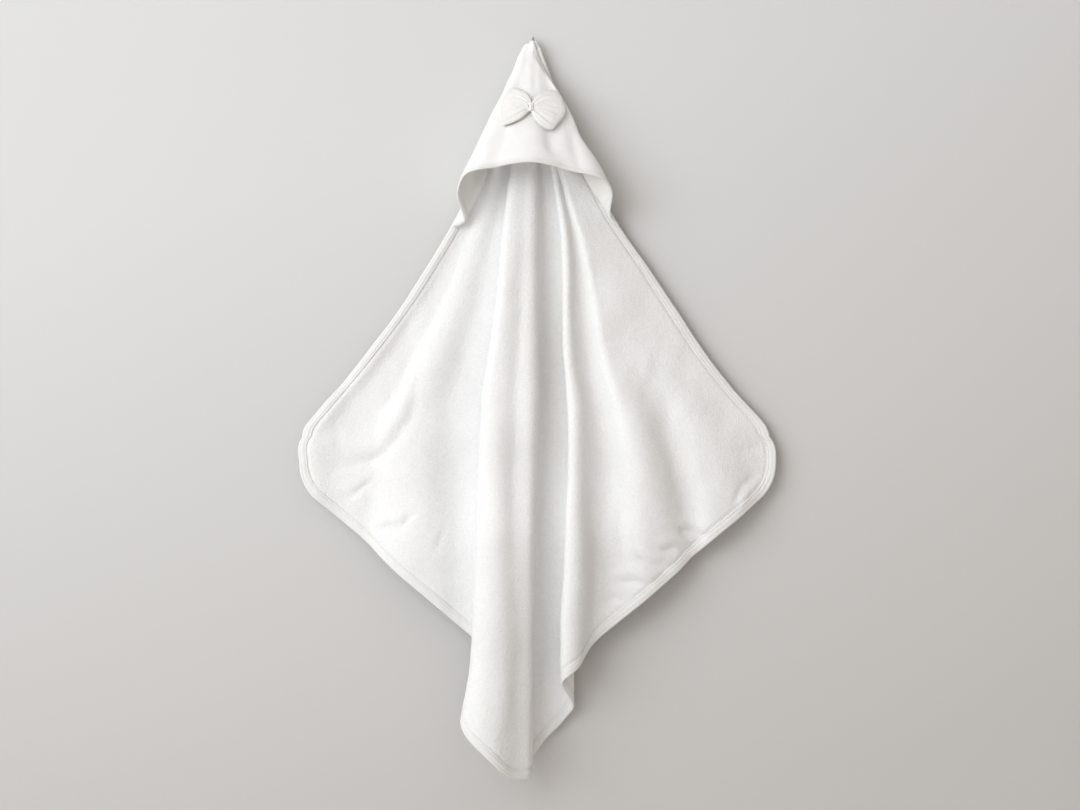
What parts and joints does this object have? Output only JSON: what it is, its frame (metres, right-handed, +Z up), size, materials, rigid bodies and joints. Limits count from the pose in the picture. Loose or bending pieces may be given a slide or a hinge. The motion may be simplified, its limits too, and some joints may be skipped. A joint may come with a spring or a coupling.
{
  "type": "hooded baby towel",
  "caption": "Square terry towel with rounded, tape-bound edges, hanging in folds from the peak of a lined triangular hood with a gauze bow.",
  "frame": {"origin": "the hanging point: the top of the inside of the tape loop at the peak, where the towel rests on its nail or hook", "axes": "+Z up along the hanging towel, -Y out of the front, +X to the viewer's right when facing the front; the wall is just behind at +Y"},
  "size_m": [0.661, 0.0945, 1.0289],
  "materials": {
    "terry": "soft looped terry pile",
    "binding_tape": "smooth knitted cotton tape",
    "hood_cotton": "fine matte cotton",
    "lining_cotton": "matte cotton",
    "bow_gauze": "crinkled cotton gauze",
    "thread": "spun thread"
  },
  "bodies": {
    "towel": {"towel_body_panel": "terry", "binding_upper_left": "binding_tape", "binding_upper_right": "binding_tape", "binding_lower_left": "binding_tape", "binding_lower_right": "binding_tape", "hanging_loop": "binding_tape"},
    "hood": {"hood_outer_panel": "hood_cotton", "hood_lining": "lining_cotton", "hood_hem_binding": "binding_tape", "bow_centre_band": "bow_gauze", "bow_tack_stitch": "thread"},
    "bow_left": {"bow_wing_left": "bow_gauze"},
    "bow_right": {"bow_wing_right": "bow_gauze"}
  },
  "joints": [
    {"name": "hood_open", "type": "hinge", "parent": "towel", "child": "hood", "pos_m": [0, -0.006, -0.004], "axis": [-1, 0, 0], "range_deg": [0, 25]},
    {"name": "bow_left_flex", "type": "hinge", "parent": "hood", "child": "bow_left", "pos_m": [0, -0.06136, -0.10234], "axis": [0, 0.41, 0.9121], "range_deg": [0, 45]},
    {"name": "bow_right_flex", "type": "hinge", "parent": "hood", "child": "bow_right", "pos_m": [0, -0.06136, -0.10234], "axis": [0, -0.41, -0.9121], "range_deg": [0, 45]}
  ]
}
